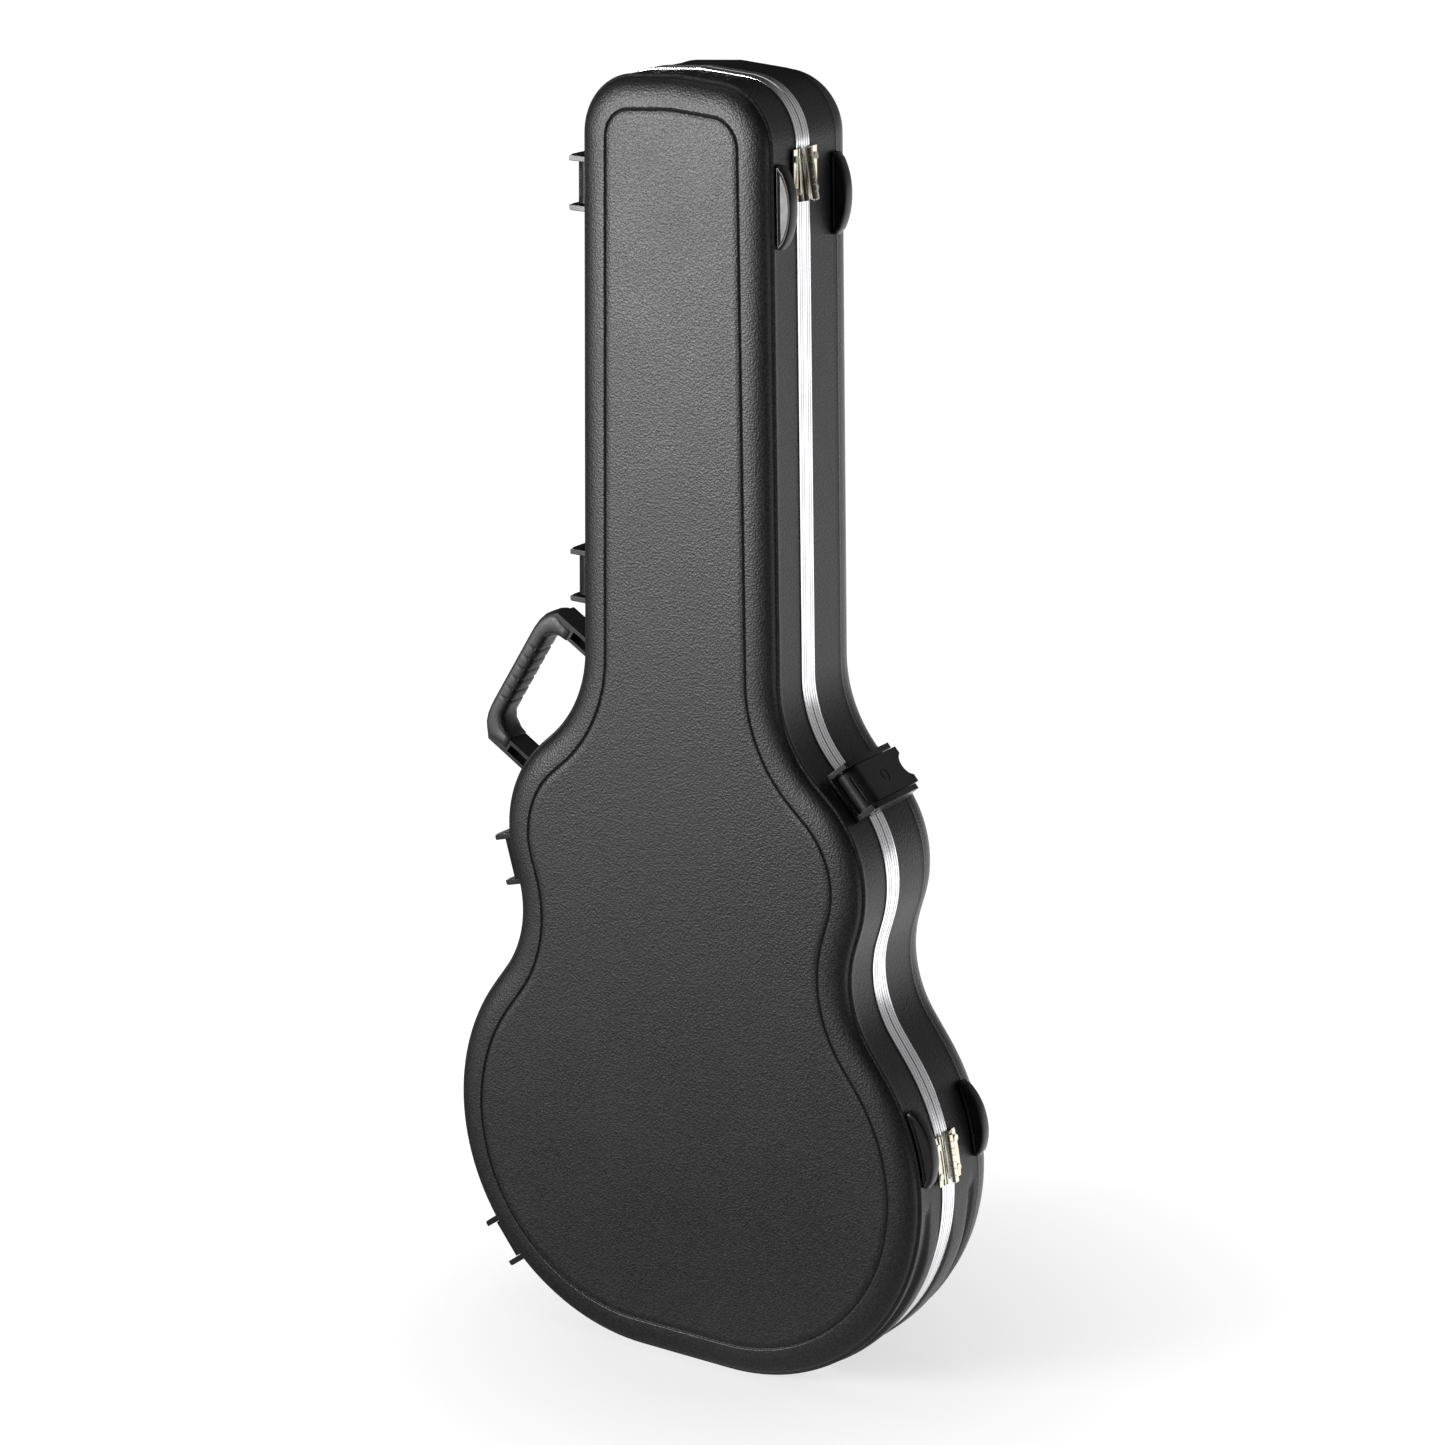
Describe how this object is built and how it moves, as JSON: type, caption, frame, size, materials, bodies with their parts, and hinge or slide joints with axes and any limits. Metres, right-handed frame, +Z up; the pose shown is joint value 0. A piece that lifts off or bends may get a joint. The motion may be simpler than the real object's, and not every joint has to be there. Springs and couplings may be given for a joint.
{
  "type": "guitar case",
  "caption": "Upright hard-shell guitar case with a hinged lid, aluminium rim, lever latches, corner bumpers, a folding handle and a plush-lined inside.",
  "frame": {"origin": "centre of the footprint of the upright case, on the floor", "axes": "+Z up towards the head end, +Y towards the back of the case (the lid faces -Y), +X towards the hinge side"},
  "size_m": [0.4957, 0.1376, 1.1415],
  "materials": {
    "shell_abs": "moulded, fine pebble grain",
    "valance_aluminium": "extruded, satin",
    "black_nylon": "moulded, smooth",
    "grip_rubber": "soft overmould",
    "nickel": "warm nickel plate",
    "plush_lining": "short-pile plush on foam",
    "cradle_foam": "plush-faced foam",
    "pull_ribbon": "woven"
  },
  "bodies": {
    "base": {"accessory_box": "plush_lining", "base_bumper_lower": "black_nylon", "base_bumper_upper": "black_nylon", "base_liner": "plush_lining", "base_shell": "shell_abs", "base_valance": "valance_aluminium", "handle_lower_bracket": "black_nylon", "handle_lower_pin": "black_nylon", "handle_upper_bracket": "black_nylon", "handle_upper_pin": "black_nylon", "hinge_lower_base_leaf": "nickel", "hinge_lower_base_rivet_1": "nickel", "hinge_lower_base_rivet_2": "nickel", "hinge_lower_pin": "nickel", "hinge_upper_base_leaf": "nickel", "hinge_upper_base_rivet_1": "nickel", "hinge_upper_base_rivet_2": "nickel", "hinge_upper_pin": "nickel", "latch_bottom_bracket": "black_nylon", "latch_bottom_pin": "nickel", "latch_hinge_side_bracket": "black_nylon", "latch_hinge_side_pin": "nickel", "latch_neck_bracket": "black_nylon", "latch_neck_pin": "nickel", "latch_shoulder_bracket": "black_nylon", "latch_shoulder_pin": "nickel", "latch_waist_bracket": "black_nylon", "latch_waist_pin": "nickel", "neck_cradle": "cradle_foam"},
    "lid": {"hinge_lower_lid_leaf": "nickel", "hinge_lower_lid_rivet_1": "nickel", "hinge_lower_lid_rivet_2": "nickel", "hinge_upper_lid_leaf": "nickel", "hinge_upper_lid_rivet_1": "nickel", "hinge_upper_lid_rivet_2": "nickel", "latch_bottom_keeper": "black_nylon", "latch_hinge_side_keeper": "black_nylon", "latch_neck_keeper": "black_nylon", "latch_shoulder_keeper": "black_nylon", "latch_waist_keeper": "black_nylon", "lid_bumper_lower": "black_nylon", "lid_bumper_upper": "black_nylon", "lid_liner": "plush_lining", "lid_shell": "shell_abs", "lid_valance": "valance_aluminium"},
    "handle": {"handle_chassis": "black_nylon", "handle_grip": "grip_rubber"},
    "accessory_door": {"accessory_door": "plush_lining", "accessory_pull_tab": "pull_ribbon"},
    "latch_bottom_lever": {"latch_bottom_lever": "black_nylon"},
    "latch_hinge_side_lever": {"latch_hinge_side_lever": "black_nylon"},
    "latch_neck_lever": {"latch_neck_lever": "black_nylon"},
    "latch_shoulder_lever": {"latch_shoulder_lever": "black_nylon"},
    "latch_waist_lever": {"latch_waist_lever": "black_nylon"}
  },
  "joints": [
    {"name": "lid_hinge", "type": "hinge", "parent": "base", "child": "lid", "pos_m": [0.24105, -0.01505, 0.23303], "axis": [-0.1703, 0, 0.9854], "range_deg": [0, 110]},
    {"name": "latch_bottom_lever_hinge", "type": "hinge", "parent": "base", "child": "latch_bottom_lever", "pos_m": [-0.2128, -0.03155, 0.05928], "axis": [-0.6112, 0, 0.7915], "range_deg": [0, 105]},
    {"name": "latch_hinge_side_lever_hinge", "type": "hinge", "parent": "base", "child": "latch_hinge_side_lever", "pos_m": [0.15824, -0.03155, 0.55351], "axis": [0.6631, 0, -0.7486], "range_deg": [0, 105]},
    {"name": "latch_neck_lever_hinge", "type": "hinge", "parent": "base", "child": "latch_neck_lever", "pos_m": [-0.11332, -0.03155, 1.03927], "axis": [0.0147, 0, 0.9999], "range_deg": [0, 105]},
    {"name": "latch_shoulder_lever_hinge", "type": "hinge", "parent": "base", "child": "latch_shoulder_lever", "pos_m": [-0.11829, -0.03155, 0.69991], "axis": [0.0147, 0, 0.9999], "range_deg": [0, 105]},
    {"name": "latch_waist_lever_hinge", "type": "hinge", "parent": "base", "child": "latch_waist_lever", "pos_m": [-0.19951, -0.03155, 0.42882], "axis": [-0.2641, 0, 0.9645], "range_deg": [0, 105]},
    {"name": "handle_swing", "type": "hinge", "parent": "base", "child": "handle", "pos_m": [-0.1561, -0.01505, 0.57], "axis": [0.5255, 0, 0.8508], "range_deg": [-50, 50]},
    {"name": "accessory_door_hinge", "type": "hinge", "parent": "base", "child": "accessory_door", "pos_m": [-0.0046, 0.01895, 0.8015], "axis": [-1, 0, 0], "range_deg": [0, 60]}
  ]
}
